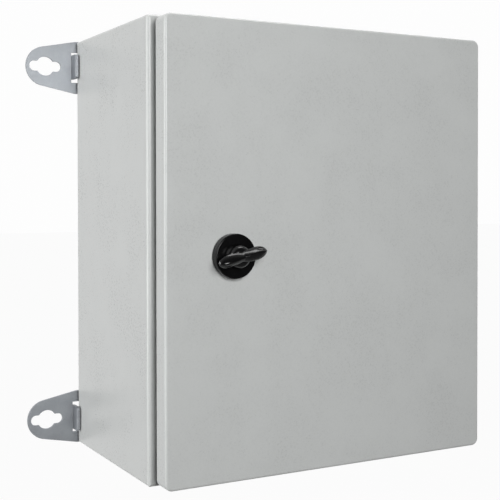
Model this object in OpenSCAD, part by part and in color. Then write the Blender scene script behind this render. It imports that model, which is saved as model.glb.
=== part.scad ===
// Steel wall enclosure with a hinged door, a wing-knob lock and four wall brackets.
// Millimetres. The wall is the plane y = 0 and the enclosure stands in front of it, towards -Y.
// +Z is up, +X is to the right of somebody who looks at the door.
// The origin is the centre of the four wall fixings.

/* [Body] */
// Width of the body
body_w = 254; // [240:2:320]
// Height of the body
body_h = 300; // [280:2:380]
// Depth of the body from its back to the front rim
body_d = 136; // [120:2:200]
// Thickness of the body sheet
body_t = 1.5; // [1.2:0.1:2]
// Outside radius of the body's folds
body_r = 2.5; // [2.2:0.1:3]
// Width of the front rim outside the lip
rim_w = 15; // [14:0.5:18]

/* [Door] */
// How far the door stands inside the body's outline
door_inset = 2.2; // [1.5:0.1:3]
// Gap between the rim and the back edge of the door's flanges
door_gap = 8.5; // [8:0.1:10]
// Depth of the door from its flange edges to its face
door_d = 13.5; // [12.5:0.5:16]
// Thickness of the door sheet
door_t = 1.5; // [1.2:0.1:2]
// Outside radius of the door's folds
door_r = 1.7; // [1.7:0.1:3.5]
// Radius of the door's corners, seen from the front
door_corner = 5; // [4:0.5:10]
// Width of the gasket strip
gasket_w = 9; // [8:0.5:10]
// Thickness of the gasket with the door shut
gasket_t = 4; // [3:0.5:5]

/* [Wall brackets] */
// Thickness of a bracket
bracket_t = 2; // [1.5:0.5:2.5]
// Distance of a slot's centre from the body's side
slot_out = 23; // [20:0.5:28]
// Height of a slot's centre above or below the middle
slot_z = 131; // [110:1:131]
// Radius of a bracket's outer end
bracket_end_r = 14.5; // [12:0.5:16]
// Half of a bracket's height where it leaves the body
bracket_root = 19.4; // [16:0.1:19.4]
// Length of the double keyhole slot
slot_len = 24; // [20:0.5:26]
// Width of the double keyhole slot
slot_w = 7.5; // [6:0.5:8.5]
// Diameter of the round middle of the keyhole
keyhole_d = 14; // [12:0.5:16]
// Thickness of the sealing rings between body and brackets
seal_t = 2.5; // [1.5:0.5:3]

/* [Lock] */
// Distance of the lock's axis from the middle of the door
lock_x = -78.6; // [-80:0.1:-60]
// Height of the lock's axis
lock_z = -3; // [-20:0.5:20]
// Radius of the rosette
rosette_r = 14.3; // [14:0.1:18]
// Thickness of the rosette
rosette_t = 5.5; // [4:0.1:8]
// Length of the wing from its middle to a tip
wing_len = 17.2; // [15:0.1:24]
// How far the wing is turned from level, degrees
wing_tilt = 12; // [0:1:20]

/* [Inside] */
// Width of the mounting plate
plate_w = 206; // [180:2:206]
// Height of the mounting plate
plate_h = 250; // [220:2:252]
// Thickness of the mounting plate
plate_t = 2; // [1.5:0.5:3]
// Distance of the mounting plate from the inside of the back
plate_off = 15; // [14:1:25]
// Width of the gland plate
gland_w = 196; // [180:2:200]
// Depth of the gland plate
gland_d = 104; // [96:2:106]

/* [Hidden] */
$fn = 64;
e = 0.01;
back_y = -(bracket_t + seal_t);
rim_y = back_y - body_d;
hem_y = rim_y - door_gap;
face_y = hem_y - door_d;
door_in_y = face_y + door_t;
lip_w = body_w - 2 * rim_w;
lip_h = body_h - 2 * rim_w;
gasket_y = door_in_y + gasket_t;
lip_y = gasket_y + 0.2;
door_w = body_w - 2 * door_inset;
door_h = body_h - 2 * door_inset;
side_x = body_w / 2;

// hinges
hinge_x = side_x - 7;
hinge_y = hem_y + 0.5;
hinge_z = 95;
pin_r = 1.5;
pin_run = 0.05;
knuckle_r = 2.75;
knuckle_h = 11;
leaf_h = 50;
leaf_screw_z = 20;
leaf_t = 2;
hinge_screw_r = 2;

// lock
seat_t = 0.8;
barrel_r = 9;
barrel_end = face_y + 18;
spindle_r = 6;
spindle_run = 0.05;
square_a = 8;
boss_r = 7.8;
boss_top = 14.8;
wing_axis = 15.2;
cam_t = 3;
cam_len = 42;
cam_w = 17;
cam_front = rim_y + body_t + 2.6;
fillet = 0.8;

// fasteners
bolt_r = 3;
bolt_x = side_x - 22;
stud_r = 4;
stud_x = 92;
stud_z = 112;
plate_y = back_y - body_t - plate_off;
earth_r = 3;
gland_y = back_y - body_d / 2;
gland_hole_w = gland_w - 30;
gland_hole_d = gland_d - 30;
gland_gasket_t = 2;
gland_t = 1.5;
gland_screw_r = 2.5;
gland_screw_x = gland_w / 2 - 7;
gland_screw_y = gland_d / 2 - 7;

// bracket tab, pressed out of the plate and bent forward against the body's side
tab_in = 1.1;
tab_out = tab_in + bracket_t;
tab_bend = 0.4;
tab_h = 17.8;
tab_nose = back_y - 7.5;
nose_cut = 0.3;
window_in = -8;
relief_h = 2.4;
relief_out = 3.2;

// Sub-part to draw, or all

paint = [0.76, 0.77, 0.76];
zinc = [0.66, 0.69, 0.72];
black = [0.05, 0.05, 0.055];
rubber = [0.12, 0.12, 0.12];

// ---- general shapes ----

// Rectangle about the origin with round corners
module round_rect(w, h, r) {
  square([w - 2 * r, h], center = true);
  square([w, h - 2 * r], center = true);
  for (i = [-1, 1], j = [-1, 1])
    translate([i * (w / 2 - r), j * (h / 2 - r)]) circle(r = r);
}

// Prism along Y of a drawing made in X and Z, from y0 forward to y1
module along_y(y0, y1) {
  translate([0, y0, 0]) rotate([90, 0, 0]) linear_extrude(y0 - y1) children();
}

// Box about the X and Z axes from y0 forward to y1 with all of its edges round
module soft_box(w, h, y0, y1, r) {
  d = y0 - y1;
  intersection() {
    along_y(y0, y1) round_rect(w, h, r);
    translate([-w / 2, (y0 + y1) / 2, 0]) rotate([90, 0, 90]) linear_extrude(w) round_rect(d, h, r);
    translate([0, (y0 + y1) / 2, -h / 2]) linear_extrude(h) round_rect(w, d, r);
  }
}

// Folded pan about the X and Z axes from y0 forward to y1, its corners and its front edges round
module pan_box(w, h, y0, y1, corner, fold) {
  along_y(y0, y1 + fold) round_rect(w, h, corner);
  along_y(y0, y1) round_rect(w - 2 * fold, h - 2 * fold, corner - fold);
  for (j = [-1, 1]) translate([corner - w / 2, y1 + fold, j * (h / 2 - fold)])
    rotate([0, 90, 0]) cylinder(r = fold, h = w - 2 * corner);
  for (i = [-1, 1]) translate([i * (w / 2 - fold), y1 + fold, corner - h / 2])
    cylinder(r = fold, h = h - 2 * corner);
  for (i = [0, 1], j = [0, 1]) mirror([i, 0, 0]) mirror([0, 0, j])
    translate([w / 2 - corner, y1 + fold, h / 2 - corner]) rotate([90, 0, 0])
      rotate_extrude(angle = 90) translate([corner - fold, 0]) circle(r = fold);
}

// Rod along Y from y0 forward to y1
module rod(r, y0, y1) {
  translate([0, y0, 0]) rotate([90, 0, 0]) cylinder(r = r, h = y0 - y1);
}

// Hexagon rod along Y from y0 forward to y1, with the width over flats
module hex_rod(flats, y0, y1) {
  translate([0, y0, 0]) rotate([90, 0, 0]) cylinder(r = flats / sqrt(3), h = y0 - y1, $fn = 6);
}

// The same thing at the four corners of a rectangle in X and Z
module corners(x, z) {
  for (i = [-1, 1], j = [-1, 1]) translate([i * x, 0, j * z]) children();
}

// ---- body ----

module gland_pattern() {
  for (i = [-1, 0, 1], j = [-1, 1])
    translate([i * gland_screw_x, gland_y + j * gland_screw_y, 0]) children();
}

module body_shell() {
  color(paint) {
    difference() {
      soft_box(body_w, body_h, back_y, rim_y, body_r);
      soft_box(body_w - 2 * body_t, body_h - 2 * body_t, back_y - body_t, rim_y + body_t, body_r - body_t);
      along_y(rim_y + body_t + 1, rim_y - 1) round_rect(lip_w - 2 * body_t, lip_h - 2 * body_t, 3);
      corners(bolt_x, slot_z) rod(bolt_r + 0.3, back_y + 1, back_y - body_t - 1);
      translate([0, gland_y, -body_h / 2 - 1]) linear_extrude(body_t + 2) round_rect(gland_hole_w, gland_hole_d, 6);
      translate([0, 0, -body_h / 2 - 1]) gland_pattern() cylinder(r = gland_screw_r + 0.2, h = body_t + 2);
      for (k = [-1, 1]) translate([0, 0, k * hinge_z]) hinge_screw_places()
        rod(hinge_screw_r, rim_y + body_t + 1, rim_y - 1);
    }
    difference() {
      along_y(rim_y + e, lip_y) round_rect(lip_w, lip_h, 4.5);
      along_y(rim_y + 1, lip_y - 1) round_rect(lip_w - 2 * body_t, lip_h - 2 * body_t, 3);
    }
  }
}

// ---- mounting plate ----

module mounting_plate() {
  color(zinc) difference() {
    along_y(plate_y, plate_y - plate_t) round_rect(plate_w, plate_h, 4);
    corners(stud_x, stud_z) rod(stud_r + 0.3, plate_y + 1, plate_y - plate_t - 1);
  }
}

module plate_studs() {
  color(zinc) corners(stud_x, stud_z) {
    rod(7, back_y - body_t, plate_y);
    rod(stud_r, plate_y + e, plate_y - 16);
    rod(stud_r - 0.7, plate_y - 16 + e, plate_y - 17);
  }
}

module plate_washers() {
  color(zinc) corners(stud_x, stud_z) difference() {
    rod(8, plate_y - plate_t, plate_y - plate_t - 1.6);
    rod(stud_r + 0.2, plate_y, plate_y - plate_t - 3);
  }
}

module plate_nuts() {
  nut_y = plate_y - plate_t - 1.6;
  color(zinc) corners(stud_x, stud_z) difference() {
    hex_rod(13, nut_y, nut_y - 6.5);
    rod(stud_r, nut_y + 1, nut_y - 8);
  }
}

// ---- gland plate under the body ----

module gland_plate() {
  color(paint) difference() {
    translate([0, gland_y, -body_h / 2 - gland_gasket_t - gland_t])
      linear_extrude(gland_t) round_rect(gland_w, gland_d, 5);
    translate([0, 0, -body_h / 2 - 6]) gland_pattern() cylinder(r = gland_screw_r + 0.2, h = 8);
  }
}

module gland_gasket() {
  color(rubber) difference() {
    translate([0, gland_y, -body_h / 2 - gland_gasket_t])
      linear_extrude(gland_gasket_t) round_rect(gland_w - 1, gland_d - 1, 5);
    translate([0, gland_y, -body_h / 2 - 6]) linear_extrude(10) round_rect(gland_hole_w, gland_hole_d, 6);
    translate([0, 0, -body_h / 2 - 6]) gland_pattern() cylinder(r = gland_screw_r + 0.2, h = 8);
  }
}

module gland_screws() {
  seat = -body_h / 2 - gland_gasket_t - gland_t;
  color(zinc) translate([0, 0, seat]) gland_pattern() {
    cylinder(r = gland_screw_r, h = 10);
    difference() {
      translate([0, 0, -2.6]) cylinder(r = 4.6, h = 2.6);
      for (a = [0, 90]) rotate(a) translate([-2.6, -0.5, -3]) cube([5.2, 1, 1.8]);
    }
  }
}

module gland_nuts() {
  color(zinc) translate([0, 0, -body_h / 2 + body_t]) gland_pattern() difference() {
    cylinder(r = 8 / sqrt(3), h = 4, $fn = 6);
    translate([0, 0, -1]) cylinder(r = gland_screw_r, h = 6);
  }
}

// ---- wall brackets ----

// Outline of a bracket, with u outward from the body's side and v up
module bracket_outline() {
  far = sqrt(slot_out * slot_out + bracket_root * bracket_root);
  turn = atan2(-bracket_root, slot_out) + asin(bracket_end_r / far);
  run = sqrt(far * far - bracket_end_r * bracket_end_r);
  tan_u = run * cos(turn);
  tan_v = bracket_root + run * sin(turn);
  translate([slot_out, 0]) circle(r = bracket_end_r);
  polygon([
    [-32, -bracket_root + 5], [-27, -bracket_root], [0, -bracket_root], [tan_u, -tan_v],
    [tan_u, tan_v], [0, bracket_root], [-27, bracket_root], [-32, bracket_root - 5]
  ]);
}

module keyhole() {
  circle(r = keyhole_d / 2);
  for (i = [-1, 1]) translate([i * (slot_len - slot_w) / 2, 0]) circle(r = slot_w / 2);
  square([slot_len - slot_w, slot_w], center = true);
}

// Section of the tab in X and Y, bend and flat with a bevelled nose
module tab_section() {
  mid_x = tab_out + tab_bend;
  mid_y = -bracket_t - tab_bend;
  intersection() {
    difference() {
      translate([mid_x, mid_y]) circle(r = tab_bend + bracket_t);
      translate([mid_x, mid_y]) circle(r = tab_bend);
    }
    translate([tab_in, mid_y]) square([mid_x - tab_in, -mid_y]);
  }
  polygon([
    [tab_in, mid_y + e], [tab_out, mid_y + e], [tab_out, tab_nose + nose_cut],
    [tab_out - nose_cut, tab_nose], [tab_in, tab_nose]
  ]);
}

// A bracket for the right side, measured from the body's side
module bracket() {
  root = tab_out + tab_bend;
  color(zinc) {
    along_y(0, -bracket_t) difference() {
      bracket_outline();
      translate([slot_out, 0]) keyhole();
      translate([-22, 0]) circle(r = bolt_r);
      translate([window_in, -tab_h / 2]) square([root - window_in, tab_h]);
      for (j = [0, 1]) mirror([0, j]) translate([window_in, tab_h / 2 - e])
        square([relief_out - window_in, relief_h]);
    }
    intersection() {
      translate([0, 0, -tab_h]) linear_extrude(2 * tab_h) tab_section();
      translate([0, tab_nose / 2 + 2, 0]) rotate([90, 0, 90]) linear_extrude(8)
        round_rect(4 - tab_nose, tab_h, 1.6);
    }
  }
}

module bracket_top_right() { translate([side_x, 0, slot_z]) bracket(); }
module bracket_bottom_right() { translate([side_x, 0, -slot_z]) bracket(); }
module bracket_top_left() { mirror([1, 0, 0]) bracket_top_right(); }
module bracket_bottom_left() { mirror([1, 0, 0]) bracket_bottom_right(); }

module bracket_bolts() {
  head_y = back_y - body_t;
  color(zinc) corners(bolt_x, slot_z) {
    hex_rod(10, head_y - 1.2, head_y - 5.2);
    rod(6.5, head_y, head_y - 1.2 - e);
    rod(bolt_r, -0.3, head_y);
  }
}

module bracket_seals() {
  color(rubber) corners(bolt_x, slot_z) difference() {
    rod(9, -bracket_t, back_y);
    rod(bolt_r + 0.2, 0, back_y - 1);
  }
}

// ---- earthing ----

// Stud, washer and nut stand on a face at the origin and point along +Z
module earth_stud_shape() {
  cylinder(r = 5, h = 1.2);
  cylinder(r = earth_r, h = 15);
  cylinder(r = earth_r - 0.6, h = 15.8);
}

module earth_nut_shape() {
  translate([0, 0, 1.2]) difference() {
    union() {
      cylinder(r = 6.2, h = 1.2);
      translate([0, 0, 1.2 - e]) cylinder(r = 10 / sqrt(3), h = 5, $fn = 6);
    }
    translate([0, 0, -1]) cylinder(r = earth_r, h = 9);
  }
}

module body_earth_place() {
  translate([side_x - body_t, back_y - 55, -122]) rotate([0, -90, 0]) children();
}
module door_earth_place() {
  translate([-88, door_in_y, -112]) rotate([-90, 0, 0]) children();
}
module body_earth_stud() { color(zinc) body_earth_place() earth_stud_shape(); }
module body_earth_nut() { color(zinc) body_earth_place() earth_nut_shape(); }
module door_earth_stud() { color(zinc) door_earth_place() earth_stud_shape(); }
module door_earth_nut() { color(zinc) door_earth_place() earth_nut_shape(); }

// ---- hinges ----

module hinge_screw_places() {
  for (j = [-1, 1]) translate([side_x - 11.8, 0, j * leaf_screw_z]) children();
}

// Leaf on the rim: a base, and two arms that roll round the pin
module hinge_body_leaf() {
  arm_x = -knuckle_r - 1.35;
  arm_y = -knuckle_r + 0.15;
  arm_h = knuckle_h - 0.4;
  color(zinc) difference() {
    union() {
      translate([side_x - 14.6, rim_y - leaf_t, -leaf_h / 2]) cube([10, leaf_t, leaf_h]);
      for (j = [-1, 1]) translate([hinge_x, hinge_y, j * knuckle_h - arm_h / 2]) {
        translate([arm_x, arm_y, 0]) cube([1.5, rim_y - hinge_y - arm_y - e, arm_h]);
        translate([arm_x, arm_y, 0]) cube([-arm_x, 1.5, arm_h]);
        cylinder(r = knuckle_r, h = arm_h);
      }
    }
    translate([hinge_x, hinge_y, -leaf_h]) cylinder(r = pin_r + pin_run, h = 2 * leaf_h);
    hinge_screw_places() rod(hinge_screw_r, rim_y + 1, rim_y - 10);
  }
}

// Leaf on the inside of the door's flange, with one knuckle
module hinge_door_leaf() {
  flange_x = door_w / 2 - door_t;
  foot_y = door_in_y + door_r - door_t + 0.1;
  color(zinc) difference() {
    union() {
      translate([flange_x - 1.5, foot_y, -17]) cube([1.5, hinge_y - 4 - foot_y, 34]);
      translate([flange_x - 1.5, foot_y, -knuckle_h / 2 + 0.2])
        cube([1.5, hinge_y - 0.3 - foot_y, knuckle_h - 0.4]);
      translate([hinge_x, hinge_y, -knuckle_h / 2 + 0.2]) cylinder(r = knuckle_r, h = knuckle_h - 0.4);
      translate([hinge_x, hinge_y - knuckle_r + 0.15, -knuckle_h / 2 + 0.2])
        cube([flange_x - hinge_x - 0.5, 1.5, knuckle_h - 0.4]);
    }
    translate([hinge_x, hinge_y, -leaf_h]) cylinder(r = pin_r + pin_run, h = 2 * leaf_h);
  }
}

module hinge_pin() {
  color(zinc) translate([hinge_x, hinge_y, 0]) {
    translate([0, 0, -1.5 * knuckle_h]) cylinder(r = pin_r, h = 3 * knuckle_h);
    translate([0, 0, 1.5 * knuckle_h]) cylinder(r = knuckle_r - 0.4, h = 1.4);
  }
}

module hinge_body_leaf_upper() { translate([0, 0, hinge_z]) hinge_body_leaf(); }
module hinge_body_leaf_lower() { translate([0, 0, -hinge_z]) hinge_body_leaf(); }
module hinge_door_leaf_upper() { translate([0, 0, hinge_z]) hinge_door_leaf(); }
module hinge_door_leaf_lower() { translate([0, 0, -hinge_z]) hinge_door_leaf(); }
module hinge_pin_upper() { translate([0, 0, hinge_z]) hinge_pin(); }
module hinge_pin_lower() { translate([0, 0, -hinge_z]) hinge_pin(); }

module hinge_screws() {
  seat = rim_y - leaf_t;
  color(zinc) for (k = [-1, 1]) translate([0, 0, k * hinge_z]) hinge_screw_places() difference() {
    union() {
      rod(hinge_screw_r, rim_y + body_t + 3, seat);
      rod(3, seat, seat - 1.2);
    }
    translate([-2, seat - 1.8, -0.4]) cube([4, 1.2, 0.8]);
  }
}

// ---- door ----

module door_pan() {
  color(paint) difference() {
    pan_box(door_w, door_h, hem_y, face_y, door_corner, door_r);
    pan_box(door_w - 2 * door_t, door_h - 2 * door_t, hem_y + 1, door_in_y,
      door_corner - door_t, door_r - door_t);
    translate([lock_x, 0, lock_z]) rod(barrel_r + 0.1, face_y + 5, face_y - 5);
  }
}

module door_gasket() {
  mid_w = lip_w - body_t;
  mid_h = lip_h - body_t;
  color(rubber) along_y(gasket_y, door_in_y) difference() {
    round_rect(mid_w + gasket_w, mid_h + gasket_w, 7);
    round_rect(mid_w - gasket_w, mid_h - gasket_w, 2);
  }
}

// ---- lock ----

// Disc along -Y from y0 with a round front edge
module soft_disc(r, y0, y1, f) {
  rod(r, y0, y1 + f);
  rod(r - f, y0, y1);
  translate([0, y1 + f, 0]) rotate([90, 0, 0]) rotate_extrude() translate([r - f, 0]) circle(r = f);
}

module lock_housing() {
  seat = face_y - seat_t;
  color(black) translate([lock_x, 0, lock_z]) difference() {
    union() {
      soft_disc(rosette_r, seat, seat - rosette_t, fillet);
      rod(barrel_r, barrel_end, seat);
    }
    rod(spindle_r + spindle_run, barrel_end + 1, seat - rosette_t - 1);
  }
}

module lock_seal() {
  color(rubber) translate([lock_x, 0, lock_z]) difference() {
    rod(rosette_r - 0.8, face_y, face_y - seat_t);
    rod(barrel_r + 0.1, face_y + 1, face_y - seat_t - 1);
  }
}

module lock_nut() {
  color(zinc) translate([lock_x, 0, lock_z]) difference() {
    union() {
      rod(13, door_in_y + 1.2, door_in_y);
      hex_rod(23, door_in_y + 5.2, door_in_y + 1.2 - e);
    }
    rod(barrel_r, door_in_y + 6, door_in_y - 1);
  }
}

// Radius of the wing at the distance u from the lock's axis: a slim middle, full lobes, round tips
function wing_r(u) = let (s = u / wing_len) (3.1 + 1.5 * sin(90 * min(1, s * 1.25))) * pow(1 - pow(s, 5), 0.5);

module wing() {
  steps = 20;
  half = [for (i = [0:steps]) wing_len * sin(90 * i / steps)];
  right = [for (u = half) [wing_r(u), u]];
  left = [for (i = [steps:-1:1]) [wing_r(half[i]), -half[i]]];
  rotate([0, 90, 0]) rotate_extrude() polygon(concat([[0, -wing_len]], left, right));
}

module wing_knob() {
  top = face_y - seat_t - rosette_t;
  color(black) translate([lock_x, 0, lock_z]) {
    soft_disc(boss_r, top - 0.4, face_y - boss_top, 1.6);
    rod(spindle_r, cam_front - 1, top);
    rod(spindle_r - 0.6, top + e, top - 0.5);
    translate([0, face_y - wing_axis, 0]) rotate([0, -wing_tilt, 0]) wing();
    difference() {
      translate([-square_a / 2, cam_front - 1 - e, -square_a / 2]) cube([square_a, cam_t + 0.7, square_a]);
      rod(bolt_r - 0.4, cam_front + cam_t + 1, cam_front - 0.5);
    }
  }
}

// Cam that hangs down with the lock released and turns behind the rim
module lock_cam() {
  a = square_a + 0.1;
  color(zinc) translate([lock_x, 0, lock_z]) difference() {
    along_y(cam_front + cam_t, cam_front) {
      circle(r = cam_w / 2);
      translate([-cam_w / 2, -cam_len + 5]) square([cam_w, cam_len - 5]);
      translate([0, -cam_len + 5]) square([cam_w - 10, 10], center = true);
      for (i = [-1, 1]) translate([i * (cam_w / 2 - 5), -cam_len + 5]) circle(r = 5);
    }
    translate([-a / 2, cam_front - 1, -a / 2]) cube([a, cam_t + 2, a]);
  }
}

module cam_washer() {
  seat = cam_front + cam_t;
  color(zinc) translate([lock_x, 0, lock_z]) difference() {
    rod(6.5, seat + 1.2, seat);
    rod(bolt_r + 0.2, seat + 2, seat - 1);
  }
}

module cam_screw() {
  seat = cam_front + cam_t + 1.2;
  color(zinc) translate([lock_x, 0, lock_z]) {
    hex_rod(8, seat + 3.5, seat);
    rod(bolt_r - 0.5, seat + e, cam_front);
  }
}

body_shell();
mounting_plate();
plate_studs();
plate_washers();
plate_nuts();
gland_plate();
gland_gasket();
gland_screws();
gland_nuts();
bracket_top_left();
bracket_top_right();
bracket_bottom_left();
bracket_bottom_right();
bracket_bolts();
bracket_seals();
body_earth_stud();
body_earth_nut();
hinge_body_leaf_upper();
hinge_body_leaf_lower();
hinge_pin_upper();
hinge_pin_lower();
hinge_screws();
hinge_door_leaf_upper();
hinge_door_leaf_lower();
door_pan();
door_gasket();
door_earth_stud();
door_earth_nut();
lock_housing();
lock_seal();
lock_nut();
wing_knob();
lock_cam();
cam_washer();
cam_screw();
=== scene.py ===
import math
import bmesh
import bpy
import numpy as np
from mathutils import Euler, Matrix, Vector


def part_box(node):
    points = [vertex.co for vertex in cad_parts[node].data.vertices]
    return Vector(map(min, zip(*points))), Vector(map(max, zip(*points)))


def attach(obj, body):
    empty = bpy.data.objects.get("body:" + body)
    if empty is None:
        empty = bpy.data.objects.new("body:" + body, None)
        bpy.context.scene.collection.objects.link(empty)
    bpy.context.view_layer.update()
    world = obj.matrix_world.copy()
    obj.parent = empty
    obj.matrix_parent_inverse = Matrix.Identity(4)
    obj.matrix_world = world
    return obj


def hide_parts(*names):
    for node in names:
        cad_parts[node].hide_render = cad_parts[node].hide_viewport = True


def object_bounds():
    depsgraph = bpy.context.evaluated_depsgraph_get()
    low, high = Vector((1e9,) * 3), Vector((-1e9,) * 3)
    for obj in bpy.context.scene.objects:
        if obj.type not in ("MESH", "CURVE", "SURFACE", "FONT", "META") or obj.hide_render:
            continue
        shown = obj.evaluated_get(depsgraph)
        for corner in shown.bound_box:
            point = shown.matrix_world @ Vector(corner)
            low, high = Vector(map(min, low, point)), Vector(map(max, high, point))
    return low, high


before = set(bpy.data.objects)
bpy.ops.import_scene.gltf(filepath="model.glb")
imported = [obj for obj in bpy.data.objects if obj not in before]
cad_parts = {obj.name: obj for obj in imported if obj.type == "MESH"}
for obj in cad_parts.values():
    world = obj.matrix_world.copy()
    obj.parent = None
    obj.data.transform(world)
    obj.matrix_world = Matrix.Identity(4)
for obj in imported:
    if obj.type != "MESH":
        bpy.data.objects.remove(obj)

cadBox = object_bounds()
mm = 0.001  # a millimetre in scene units
print("frame:", len(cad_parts), "nodes")


def gridMesh(name, points, closeAround=True, smooth=True):
    # rows x columns x 3 points; a quad joins each point to its neighbours in the next column and the next row
    rows, cols = points.shape[:2]
    row, col = np.meshgrid(np.arange(rows - 1), np.arange(cols if closeAround else cols - 1), indexing="ij")
    nextCol = (col + 1) % cols
    quads = np.stack([row * cols + col, row * cols + nextCol,
                      (row + 1) * cols + nextCol, (row + 1) * cols + col], axis=-1)
    mesh = bpy.data.meshes.new(name)
    mesh.from_pydata(points.reshape(-1, 3).tolist(), [], quads.reshape(-1, 4).tolist())
    mesh.update()
    mesh.polygons.foreach_set("use_smooth", [smooth] * len(mesh.polygons))
    obj = bpy.data.objects.new(name, mesh)
    bpy.context.scene.collection.objects.link(obj)
    return obj


def closeAndTurnOut(obj):
    # doubles at the poles merged first, then every face turned outwards
    merge = 1e-6
    shape = bmesh.new()
    shape.from_mesh(obj.data)
    bmesh.ops.remove_doubles(shape, verts=shape.verts, dist=merge)
    bmesh.ops.recalc_face_normals(shape, faces=shape.faces)
    shape.to_mesh(obj.data)
    shape.free()


def latheY(name, profile, centreX, centreZ, steps):
    # a profile of (radius, y) in millimetres, turned about the line along Y through the centre
    turn = np.linspace(0, 2 * math.pi, steps, endpoint=False)
    radius, along = profile[:, :1], profile[:, 1:]
    points = np.stack([centreX + radius * np.cos(turn), along + 0 * turn, centreZ + radius * np.sin(turn)], axis=-1)
    obj = gridMesh(name, points * mm)
    closeAndTurnOut(obj)
    return obj


def joinPieces(name, pieces):
    # one object out of several closed shells
    bpy.ops.object.select_all(action="DESELECT")
    for piece in pieces:
        piece.select_set(True)
    bpy.context.view_layer.objects.active = pieces[0]
    bpy.ops.object.join()
    pieces[0].name = name
    pieces[0].data.name = name
    return pieces[0]


class Wire:
    # an output socket that takes part in Python arithmetic
    def __init__(self, shade, socket):
        self.shade, self.socket = shade, socket

    def join(self, operation, first, second=None):
        sockets = {0: first} if second is None else {0: first, 1: second}
        return self.shade.add("ShaderNodeMath", {"operation": operation}, sockets)

    def __add__(self, other): return self.join("ADD", self, other)
    def __radd__(self, other): return self.join("ADD", other, self)
    def __sub__(self, other): return self.join("SUBTRACT", self, other)
    def __rsub__(self, other): return self.join("SUBTRACT", other, self)
    def __mul__(self, other): return self.join("MULTIPLY", self, other)
    def __rmul__(self, other): return self.join("MULTIPLY", other, self)
    def sine(self): return self.join("SINE", self)

    def ramp(self, low, high):
        # 0 below low, 1 above high, smooth between
        return self.shade.add("ShaderNodeMapRange", {"interpolation_type": "SMOOTHSTEP"},
                              {"Value": self, "From Min": low, "From Max": high})


class Shade:
    # the node tree of a material or a world: add() makes any node, plug() sets or links a socket
    def __init__(self, owner):
        owner.use_nodes = True
        self.owner, self.tree = owner, owner.node_tree
        self.tree.nodes.clear()

    def plug(self, value, socket):
        if isinstance(value, Wire):
            self.tree.links.new(value.socket, socket)
        elif isinstance(value, tuple) and socket.type == "RGBA":
            socket.default_value = (*value, 1)
        else:
            socket.default_value = value

    def add(self, kind, settings=None, sockets=None, out=0):
        node = self.tree.nodes.new(kind)
        for key, value in (settings or {}).items():
            setattr(node, key, value)
        for key, value in (sockets or {}).items():
            self.plug(value, node.inputs[key])
        return Wire(self, node.outputs[out]) if len(node.outputs) else node

    def split(self, vector):
        # the X, Y and Z of a vector
        outs = self.add("ShaderNodeSeparateXYZ", sockets={0: vector}).socket.node.outputs
        return [Wire(self, outs[i]) for i in range(3)]

    def place(self):
        # Object coordinates
        return self.add("ShaderNodeTexCoord", out=3)

    def noise(self, perMetre, detail, roughness, stretch=None):
        # a noise of that many cells in a metre, stretched along the axes if asked
        vector = self.place()
        if stretch:
            vector = self.add("ShaderNodeMapping", sockets={"Vector": vector, "Scale": stretch})
        return self.add("ShaderNodeTexNoise", sockets={
            "Vector": vector, "Scale": perMetre, "Detail": detail, "Roughness": roughness})

    def blend(self, mask, first, second):
        # 0 is the factor of a Mix node, 6 and 7 are its two colours, and 2 is the mixed colour
        return self.add("ShaderNodeMix", {"data_type": "RGBA"}, {0: mask, 6: first, 7: second}, out=2)

    def bump(self, height, strength, distance, before=None):
        sockets = {"Height": height, "Strength": strength, "Distance": distance}
        if before is not None:
            sockets["Normal"] = before
        return self.add("ShaderNodeBump", sockets=sockets)

    def rays(self):
        # camera rays, and glossy or transmission rays, each as 0 or 1
        outs = self.add("ShaderNodeLightPath").socket.node.outputs
        return (Wire(self, outs["Is Camera Ray"]),
                Wire(self, outs["Is Glossy Ray"]) + Wire(self, outs["Is Transmission Ray"]))

    def finish(self, sockets):
        surface = self.add("ShaderNodeBsdfPrincipled", sockets=sockets)
        self.add("ShaderNodeOutputMaterial", sockets={"Surface": surface})
        return self.owner


# scales below are cells in a metre, bump depths are metres

paint = {"light": (0.566, 0.580, 0.572), "dark": (0.535, 0.548, 0.541), "peel": 900, "cloud": 26, "speck": 2600,
         "rough": 0.30, "roughPeel": 0.18, "roughCloud": 0.08, "bump": 0.35, "depth": 0.00016, "ior": 1.46}


def paintedSteel(name, seed):
    # powder coat: orange peel over slow clouds
    s = Shade(bpy.data.materials.new(name))
    peel = s.noise(paint["peel"] + seed, 3, 0.6)
    cloud = s.noise(paint["cloud"] + seed * 0.1, 4, 0.6)
    speck = s.noise(paint["speck"] + seed, 1, 0.5)
    tone = (cloud * 0.55 + peel * 0.45).ramp(0.36, 0.64)
    rough = paint["rough"] + (peel - 0.5) * paint["roughPeel"] + (cloud - 0.5) * paint["roughCloud"]
    return s.finish({"Base Color": s.blend(tone, paint["dark"], paint["light"]), "Roughness": rough,
                     "IOR": paint["ior"], "Normal": s.bump(peel * 0.75 + speck * 0.25, paint["bump"], paint["depth"])})


zinc = {"cloud": 70, "fine": 900, "roughFine": 0.16, "roughCloud": 0.12, "bump": 0.25, "depth": 0.00008,
        "threadBump": 0.8, "threadDepth": 0.00028}


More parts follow.
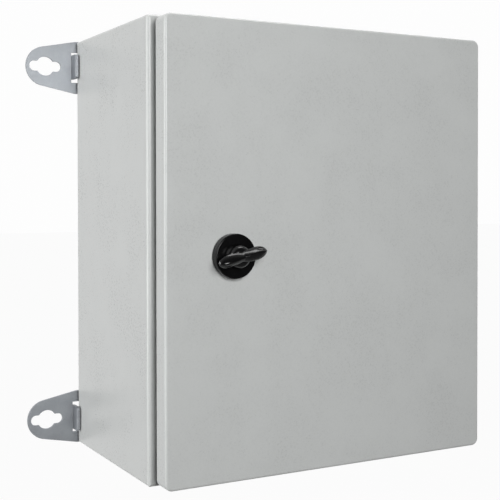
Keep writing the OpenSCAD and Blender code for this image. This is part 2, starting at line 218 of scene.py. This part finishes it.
def zincPlate(name, light, dark, rough, stretch=(1, 1, 1), thread=None):
    # cloudy zinc; thread is an axis and a pitch in millimetres, drawn as a sine along that axis
    s = Shade(bpy.data.materials.new(name))
    cloud = s.noise(zinc["cloud"], 4, 0.62, stretch)
    fine = s.noise(zinc["fine"], 3, 0.6, stretch)
    tone = (cloud * 0.7 + fine * 0.3).ramp(0.33, 0.67)
    normal = s.bump(fine * 0.6 + cloud * 0.4, zinc["bump"], zinc["depth"])
    if thread:
        axis, pitch = thread
        along = s.split(s.place())["xyz".index(axis)]
        normal = s.bump((along * (2 * math.pi / (pitch * mm))).sine(), zinc["threadBump"], zinc["threadDepth"], normal)
    return s.finish({"Base Color": s.blend(tone, dark, light), "Metallic": 1.0, "Normal": normal,
                     "Roughness": rough + (fine - 0.5) * zinc["roughFine"] + (cloud - 0.5) * zinc["roughCloud"]})


plastic = {"light": (0.0035, 0.0035, 0.0038), "dark": (0.0020, 0.0020, 0.0022), "cloud": 240, "fine": 2200,
           "ior": 1.5, "bump": 0.12, "depth": 0.0001}


def blackPlastic(name, rough, gloss):
    s = Shade(bpy.data.materials.new(name))
    cloud = s.noise(plastic["cloud"], 3, 0.6)
    fine = s.noise(plastic["fine"], 2, 0.5)
    return s.finish({"Base Color": s.blend(cloud.ramp(0.3, 0.7), plastic["dark"], plastic["light"]),
                     "Roughness": rough + (cloud - 0.5) * 0.10 + (fine - 0.5) * 0.05,
                     "IOR": plastic["ior"], "Specular IOR Level": gloss,
                     "Normal": s.bump(fine * 0.4 + cloud * 0.6, plastic["bump"], plastic["depth"])})


rubber = {"soft": 60, "rough": 0.78, "bump": 0.5, "depth": 0.00025}


def rubberFoam(name, light, dark, cells):
    s = Shade(bpy.data.materials.new(name))
    pores = s.noise(cells, 3, 0.65)
    soft = s.noise(rubber["soft"], 2, 0.5)
    return s.finish({"Base Color": s.blend((pores * 0.7 + soft * 0.3).ramp(0.35, 0.65), dark, light),
                     "Roughness": rubber["rough"] + (pores - 0.5) * 0.2,
                     "Normal": s.bump(pores, rubber["bump"], rubber["depth"])})


brassLook = {"light": (0.72, 0.53, 0.24), "dark": (0.58, 0.40, 0.15), "cloud": 300, "rough": 0.28,
             "bump": 0.15, "depth": 0.0001}


def turnedBrass(name):
    s = Shade(bpy.data.materials.new(name))
    cloud = s.noise(brassLook["cloud"], 3, 0.6)
    return s.finish({"Base Color": s.blend(cloud.ramp(0.3, 0.7), brassLook["dark"], brassLook["light"]),
                     "Metallic": 1.0, "Roughness": brassLook["rough"] + (cloud - 0.5) * 0.2,
                     "Normal": s.bump(cloud, brassLook["bump"], brassLook["depth"])})


studLight, studDark = (0.58, 0.60, 0.61), (0.44, 0.46, 0.48)
finishes = {
    "bodyPaint": paintedSteel("bodyPaint", 0),
    "doorPaint": paintedSteel("doorPaint", 7),
    "bracketZinc": zincPlate("bracketZinc", (0.355, 0.372, 0.393), (0.30, 0.316, 0.336), 0.55),
    "plateZinc": zincPlate("plateZinc", (0.60, 0.62, 0.64), (0.50, 0.52, 0.54), 0.36, (1, 1, 0.25)),
    "smallZinc": zincPlate("smallZinc", studLight, (0.47, 0.49, 0.51), 0.30),
    "studZinc": zincPlate("studZinc", studLight, studDark, 0.32, thread=("y", 1.25)),
    "earthZinc": zincPlate("earthZinc", studLight, studDark, 0.32, thread=("x", 1.0)),
    "doorEarthZinc": zincPlate("doorEarthZinc", studLight, studDark, 0.32, thread=("y", 1.0)),
    "hingeZinc": zincPlate("hingeZinc", (0.56, 0.58, 0.60), (0.42, 0.44, 0.46), 0.34),
    "camZinc": zincPlate("camZinc", (0.55, 0.57, 0.60), (0.42, 0.44, 0.47), 0.36),
    "brass": turnedBrass("brass"),
    "blackRubber": rubberFoam("blackRubber", (0.030, 0.030, 0.031), (0.014, 0.014, 0.015), 1500),
    "gasketFoam": rubberFoam("gasketFoam", (0.060, 0.060, 0.064), (0.022, 0.022, 0.024), 1100),
    "lockBlack": blackPlastic("lockBlack", 0.22, 0.2),
    "knobBlack": blackPlastic("knobBlack", 0.15, 0.42),
}
finishOf = {
    "body_shell": "bodyPaint", "gland_plate": "bodyPaint", "door_pan": "doorPaint",
    "mounting_plate": "plateZinc", "plate_studs": "studZinc", "plate_washers": "smallZinc", "plate_nuts": "smallZinc",
    "gland_gasket": "blackRubber", "gland_screws": "smallZinc", "gland_nuts": "smallZinc",
    "bracket_top_left": "bracketZinc", "bracket_top_right": "bracketZinc",
    "bracket_bottom_left": "bracketZinc", "bracket_bottom_right": "bracketZinc",
    "bracket_bolts": "smallZinc", "bracket_seals": "blackRubber",
    "body_earth_stud": "earthZinc", "body_earth_nut": "brass",
    "door_earth_stud": "doorEarthZinc", "door_earth_nut": "brass",
    "hinge_body_leaf_upper": "hingeZinc", "hinge_body_leaf_lower": "hingeZinc",
    "hinge_door_leaf_upper": "hingeZinc", "hinge_door_leaf_lower": "hingeZinc",
    "hinge_pin_upper": "smallZinc", "hinge_pin_lower": "smallZinc", "hinge_screws": "smallZinc",
    "door_gasket": "gasketFoam", "lock_housing": "lockBlack", "lock_seal": "blackRubber", "lock_nut": "smallZinc",
    "wing_knob": "knobBlack", "lock_cam": "camZinc", "cam_washer": "smallZinc", "cam_screw": "smallZinc",
}
for node, finish in finishOf.items():
    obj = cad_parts[node]
    for materialSlot in obj.material_slots:
        materialSlot.material = finishes[finish]
    if not len(obj.material_slots):
        obj.data.materials.append(finishes[finish])
print("finishes:", len(finishes), "on", len(finishOf), "nodes")

# the wing knob, in millimetres and degrees: a twisted wing laid across a domed boss, on a turned spindle
knob = {
    "reach": 17.2, "root": 3.1, "swell": 1.5, "deepest": 4.3119,     # half length, and radius of the wing
    "ridge": 1.28, "tilt": 12, "twist": 12, "twistOver": 5,          # power of the section, lean, turn at the lobes
    "tip": 5, "taper": 3,                                            # powers that round the tips
    "dent": 0.75, "dentAt": 12.2, "dentLong": 2.7, "dentWide": 0.42,  # thumb pocket
    "boss": 7.8, "bossEdge": 0.3, "shoulder": 4.6, "shoulderIn": 0.5, "shoulderBack": 3.7, "dome": 0.25,
    "bossUnder": 0.4, "bossSunk": 0.4,                               # clear of the rosette, behind the wing's axis
    "spindle": 6, "neck": 5.4, "chamfer": 0.4, "neckStart": 0.6, "spindleShort": 1,
    "rings": 121, "columns": 120, "bossSteps": 120, "spindleSteps": 96,
}


def superellipse(count, power):
    # points with |forward| ** power + |across| ** power = 1, one for each even turn
    turn = np.linspace(0, 2 * math.pi, count, endpoint=False)
    cosine, sine = np.cos(turn), np.sin(turn)
    reach = (np.abs(cosine) ** power + np.abs(sine) ** power) ** (-1 / power)
    return turn, cosine * reach, sine * reach


def wingSurface(name, centreX, axisY, centreZ):
    # along the wing the section is a rounded diamond with its ridge forward, twisted by tanh towards the lobes;
    # radius = (root + swell * sine) * square root of (1 - share ** power), less an oval pocket on each leading facet
    steps = np.sin(np.linspace(-math.pi / 2, math.pi / 2, knob["rings"]))[:, None]
    share = np.abs(steps)
    swelling = knob["root"] + knob["swell"] * np.sin(np.pi / 2 * np.minimum(1, share * 1.25))
    turn, forward, across = superellipse(knob["columns"], knob["ridge"])
    # the trailing side of each lobe tapers sooner
    trailing = np.clip(0.5 - 0.5 * np.sin(turn)[None, :] * np.sign(steps), 0, 1) ** 1.5
    power = knob["tip"] + (knob["taper"] - knob["tip"]) * trailing
    along = knob["reach"] * steps
    offTurn = (turn[None, :] - np.sign(steps) * math.pi / 4 + math.pi) % (2 * math.pi) - math.pi
    offAlong = np.abs(along) - knob["dentAt"]
    inside = np.clip(1 - (offAlong / knob["dentLong"]) ** 2 - (offTurn / knob["dentWide"]) ** 2, 0, 1)
    radius = swelling * np.sqrt(np.maximum(0, 1 - share ** power)) - knob["dent"] * np.sqrt(inside)
    twist = math.radians(knob["twist"]) * np.tanh(along / knob["twistOver"])
    y = -radius * (forward * np.cos(twist) - across * np.sin(twist))
    z = radius * (across * np.cos(twist) + forward * np.sin(twist))
    x = along + 0 * radius
    lean = math.radians(knob["tilt"])
    points = np.stack([centreX + x * math.cos(lean) - z * math.sin(lean), axisY + y,
                       centreZ + x * math.sin(lean) + z * math.cos(lean)], axis=-1)
    obj = gridMesh(name, points * mm)
    closeAndTurnOut(obj)
    return obj


def bossProfile(back, front):
    # a slim wall, then an arc of the shoulder's radius from 8 to 74 degrees, then a shallow parabola to the pole
    turn = np.radians(np.linspace(8, 74, 18))
    foot = np.array([[0, back], [knob["boss"] - knob["bossEdge"], back], [knob["boss"], back - knob["bossEdge"]]])
    arc = np.stack([
        knob["boss"] - knob["shoulderIn"] - knob["shoulder"] * (math.cos(turn[0]) - np.cos(turn)),
        front + knob["shoulderBack"] - knob["shoulder"] * (np.sin(turn) - math.sin(turn[0]))], axis=-1)
    share = np.linspace(0.9, 0, 9)
    cap = np.stack([arc[-1, 0] * share, arc[-1, 1] - knob["dome"] * (1 - share ** 2)], axis=-1)
    return np.concatenate([foot, arc, cap])


low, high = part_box("wing_knob")
knobX, knobZ = (low.x + high.x) / 2 / mm, (low.z + high.z) / 2 / mm
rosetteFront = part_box("lock_housing")[0].y / mm
wingAxisY = low.y / mm + knob["deepest"]
bossBack = rosetteFront - knob["bossUnder"]
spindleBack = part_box("lock_cam")[0].y / mm - knob["spindleShort"]
neckFront = bossBack - 0.2  # a little way into the boss
spindleProfile = np.array([
    (0, spindleBack), (knob["spindle"] - knob["chamfer"], spindleBack),
    (knob["spindle"], spindleBack - knob["chamfer"]), (knob["spindle"], rosetteFront + knob["neckStart"]),
    (knob["neck"], rosetteFront), (knob["neck"], neckFront), (0, neckFront)])
boss = latheY("knobBoss", bossProfile(bossBack, wingAxisY + knob["bossSunk"]), knobX, knobZ, knob["bossSteps"])
spindle = latheY("knobSpindle", spindleProfile, knobX, knobZ, knob["spindleSteps"])
spindle.data.set_sharp_from_angle(angle=math.radians(30))
wing = wingSurface("knobWing", knobX, wingAxisY, knobZ)
knobPiece = joinPieces("wingKnob", [wing, boss, spindle])
knobPiece.data.materials.append(finishes["knobBlack"])
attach(knobPiece, "knob")
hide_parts("wing_knob")
print("knob:", len(knobPiece.data.polygons), "faces about x, z", round(knobX, 1), round(knobZ, 1))

view = {"place": (-0.3746, -0.7305, 0.0361), "right": 28.557, "down": 0.958, "roll": -0.078,
        "lens": 72.684, "sensor": 36, "up": -0.0777, "near": 0.02, "far": 60}
camera = bpy.data.objects.new("camera", bpy.data.cameras.new("camera"))
bpy.context.scene.collection.objects.link(camera)
camera.data.lens = view["lens"]
camera.data.sensor_width = view["sensor"]
camera.data.shift_y = view["up"]
camera.data.clip_start = view["near"]
camera.data.clip_end = view["far"]
camera.location = view["place"]
turned = Euler((math.radians(90 - view["down"]), 0, math.radians(-view["right"])), "XYZ").to_matrix()
rolled = Euler((0, 0, math.radians(view["roll"])), "XYZ").to_matrix()
camera.rotation_euler = (turned @ rolled).to_euler()
bpy.context.scene.camera = camera
bpy.context.scene.view_settings.view_transform = "Standard"

# soft boxes: place, what they face, width and height in metres, power
lamps = {
    "side": {"at": (-1.60, 0.10, 0.12), "to": (-0.127, -0.07, 0.0), "size": (0.5, 1.3), "watts": 19.6},
    "front": {"at": (-0.28, -1.25, 0.26), "to": (-0.02, -0.16, 0.0), "size": (0.5, 0.5), "watts": 11.5},
    "top": {"at": (0.30, 0.03, 1.42), "to": (-0.02, -0.12, 0), "size": (0.8, 0.8), "watts": 11},
}
for name, lamp in lamps.items():
    data = bpy.data.lights.new(name, "AREA")
    data.shape = "RECTANGLE"
    data.size, data.size_y = lamp["size"]
    data.energy = lamp["watts"]
    obj = bpy.data.objects.new(name, data)
    obj.location = lamp["at"]
    obj.rotation_euler = (Vector(lamp["to"]) - Vector(lamp["at"])).to_track_quat("-Z", "Y").to_euler()
    bpy.context.scene.collection.objects.link(obj)

# white to the camera; in reflections white behind the box and a dim room in front of it; as light a soft grey
room = {"white": 0.985, "front": 0.08, "soft": 0.05, "dimFrom": -0.55, "dimTo": 0.15}
world = bpy.data.worlds.new("studio")
bpy.context.scene.world = world
w = Shade(world)
backward = w.split(w.add("ShaderNodeTexCoord", out=0))[1].ramp(room["dimFrom"], room["dimTo"])
cameraRay, mirrorRay = w.rays()
mirrored = backward * (room["white"] - room["front"]) + room["front"]
strength = cameraRay * room["white"] + mirrorRay * mirrored + (1 - cameraRay - mirrorRay) * room["soft"]
light = w.add("ShaderNodeBackground", sockets={"Color": (1, 1, 1), "Strength": strength})
w.add("ShaderNodeOutputWorld", sockets={"Surface": light})

# the floor lies well below the box, which hangs on its brackets
floorPlan = {"below": 0.30, "half": 12.0, "white": 0.965, "plain": (0.15, 0.15, 0.15), "dimFrom": -0.4, "dimTo": 0.6}
level, half = cadBox[0][2] - floorPlan["below"], floorPlan["half"]
corners = np.array([[[-half, -half, level], [half, -half, level]], [[-half, half, level], [half, half, level]]])
floor = gridMesh("floor", corners, closeAround=False, smooth=False)
s = Shade(bpy.data.materials.new("floorWhite"))
cameraRay, mirrorRay = s.rays()
# in reflections the floor's white glow fades towards the front into the dark plain floor: painted shade under and in
# front of the box
backward = s.split(s.place())[1].ramp(floorPlan["dimFrom"], floorPlan["dimTo"])
mirrored = backward * (floorPlan["white"] - room["front"]) + room["front"]
share = cameraRay * floorPlan["white"] + mirrorRay * mirrored
plain = s.add("ShaderNodeBsdfDiffuse", sockets={"Color": floorPlan["plain"]})
glow = s.add("ShaderNodeEmission", sockets={"Color": (1, 1, 1), "Strength": 1.0})
both = s.add("ShaderNodeMixShader", sockets={0: share, 1: plain, 2: glow})
s.add("ShaderNodeOutputMaterial", sockets={"Surface": both})
floor.data.materials.append(s.owner)
print("studio: camera,", len(lamps), "lamps, world and floor")
